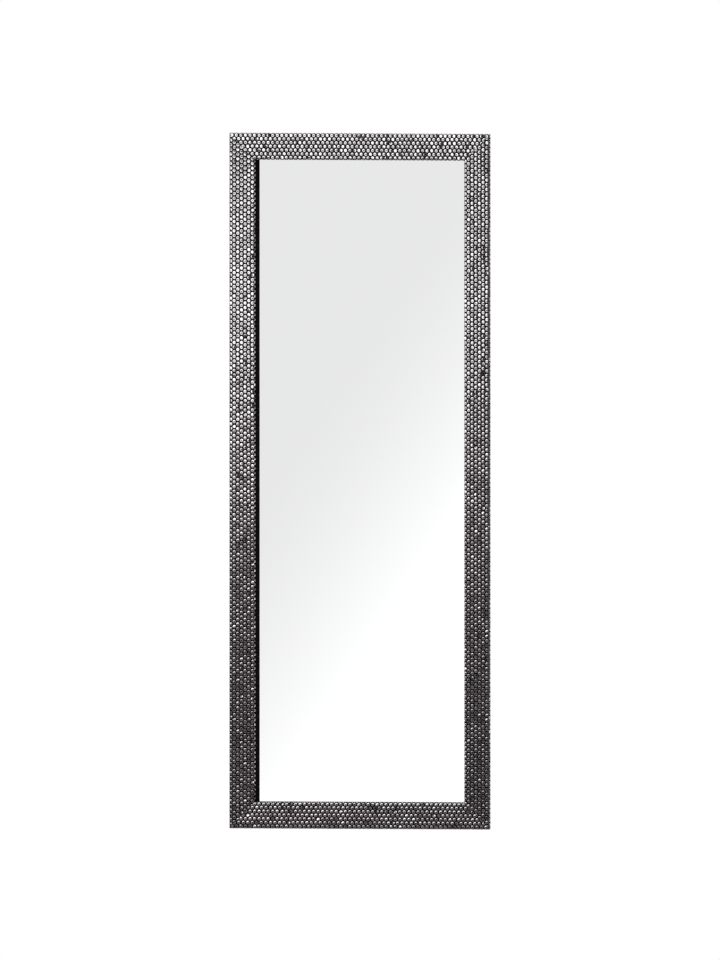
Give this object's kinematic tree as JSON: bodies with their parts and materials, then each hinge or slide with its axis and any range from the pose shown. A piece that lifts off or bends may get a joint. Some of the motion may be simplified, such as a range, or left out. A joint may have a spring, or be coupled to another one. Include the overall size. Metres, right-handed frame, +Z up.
{
  "type": "wall mirror",
  "caption": "Tall rectangular wall mirror in a mitred black moulding faced with a metallised strip of round beads, hung on swinging rings behind the stiles.",
  "frame": {"origin": "midway between the two wall hooks, on the wall plane, at the height where the lifted rings bear on the hooks", "axes": "+Z up, +X to the right as seen from the room, +Y into the wall; the mirror faces -Y"},
  "size_m": [0.5, 0.036, 1.3],
  "materials": {
    "black_moulding": "satin black foil on foamed polystyrene moulding",
    "bead_foil": "vacuum-metallised gunmetal silver, bright on the beads and black in the gaps",
    "silvered_glass": "silvered clear float glass with arrissed edges",
    "cushion_card": "plain card",
    "hardboard": "brown hardboard, smooth side out",
    "zinc_steel": "bright zinc plate",
    "bumper_rubber": "matt black rubber"
  },
  "bodies": {
    "frame": {"top_rail": "black_moulding", "bottom_rail": "black_moulding", "left_stile": "black_moulding", "right_stile": "black_moulding", "top_bead_strip": "bead_foil", "bottom_bead_strip": "bead_foil", "left_bead_strip": "bead_foil", "right_bead_strip": "bead_foil", "mirror_glass": "silvered_glass", "cushion_sheet": "cushion_card", "backing_board": "hardboard", "corner_v_nails": "zinc_steel", "glazing_tabs": "zinc_steel", "left_hanger_strap": "zinc_steel", "right_hanger_strap": "zinc_steel", "left_hanger_screws": "zinc_steel", "right_hanger_screws": "zinc_steel", "left_wall_bumper": "bumper_rubber", "right_wall_bumper": "bumper_rubber"},
    "left_ring": {"left_hanger_ring": "zinc_steel"},
    "right_ring": {"right_hanger_ring": "zinc_steel"}
  },
  "joints": [
    {"name": "left_ring_swing", "type": "hinge", "parent": "frame", "child": "left_ring", "pos_m": [-0.226, -0.0032, -0.0152], "axis": [1, 0, 0], "range_deg": [0, 180]},
    {"name": "right_ring_swing", "type": "hinge", "parent": "frame", "child": "right_ring", "pos_m": [0.226, -0.0032, -0.0152], "axis": [1, 0, 0], "range_deg": [0, 180]}
  ]
}
